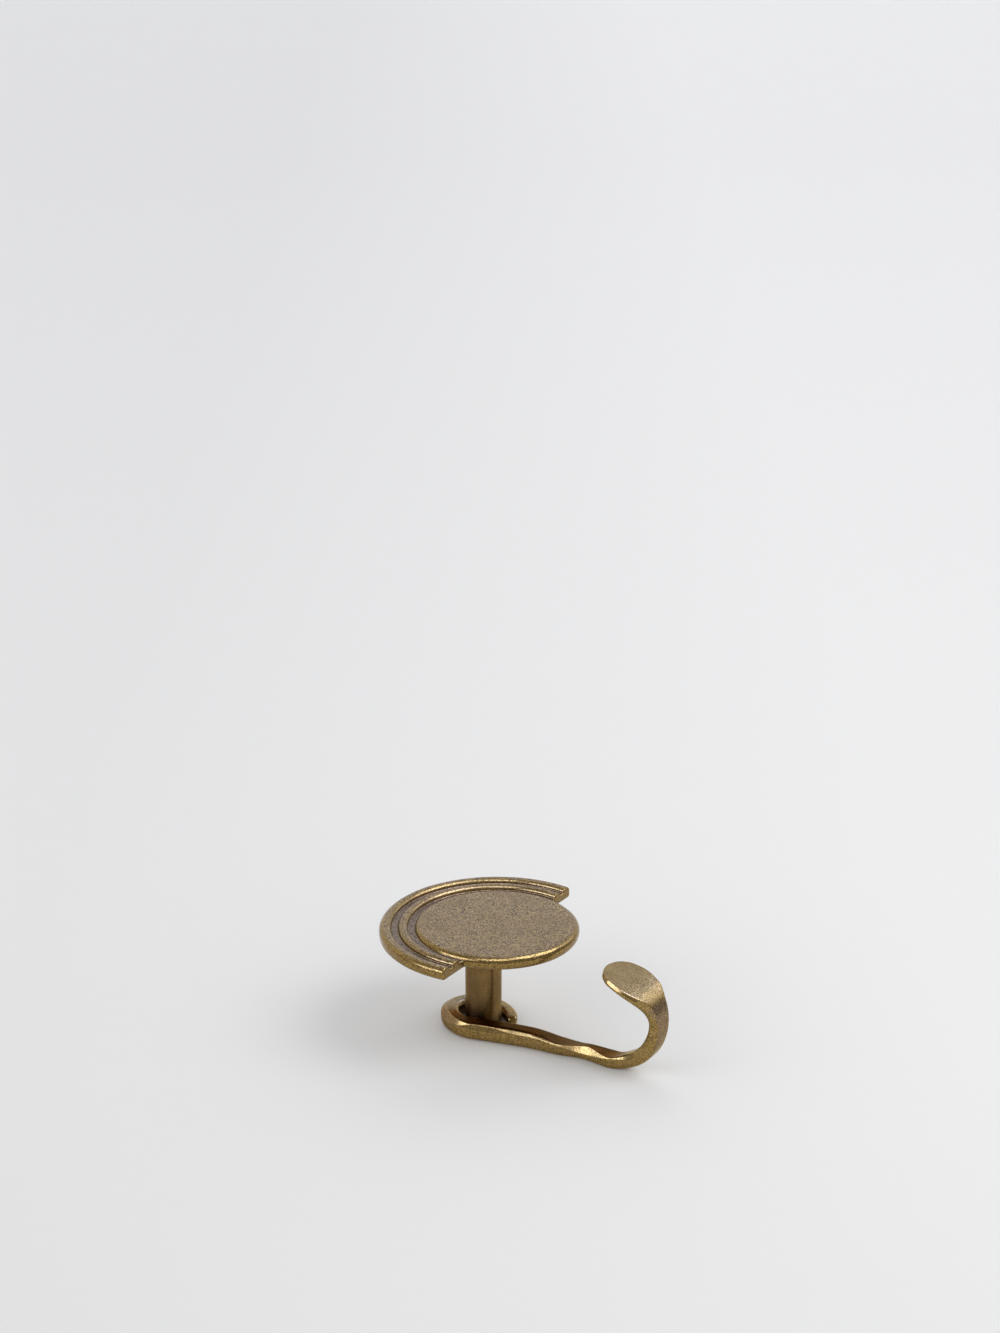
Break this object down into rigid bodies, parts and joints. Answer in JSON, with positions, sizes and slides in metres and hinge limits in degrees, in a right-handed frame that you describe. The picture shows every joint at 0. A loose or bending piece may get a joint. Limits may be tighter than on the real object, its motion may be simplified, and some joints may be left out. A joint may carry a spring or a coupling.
{
  "type": "wall hook",
  "caption": "Wall hook in aged brass: a round face plate with raised arches on a turned post, and a forged hook that hangs by its open eye round the post.",
  "frame": {"origin": "centre of the post's foot, in the plane of the wall", "axes": "+Z along the post, out of the wall towards the room; +X from the post towards the bend of the hook, which is down the wall when it hangs; +Y completes the right-handed frame, across the wall"},
  "size_m": [0.0857, 0.0638, 0.0314],
  "materials": {
    "cast_brass": "sand cast, aged, fine grain, dark patina in the grooves",
    "turned_brass": "turned smooth, aged, satin",
    "forged_brass": "hammered, aged, rubbed bright on its ridges"
  },
  "bodies": {
    "plate": {"face_plate": "cast_brass", "post": "turned_brass"},
    "hook": {"hook": "forged_brass"}
  },
  "joints": [
    {"name": "hook_swing", "type": "hinge", "parent": "plate", "child": "hook", "pos_m": [0, 0, 0], "axis": [0, 0, 1], "continuous": true}
  ]
}
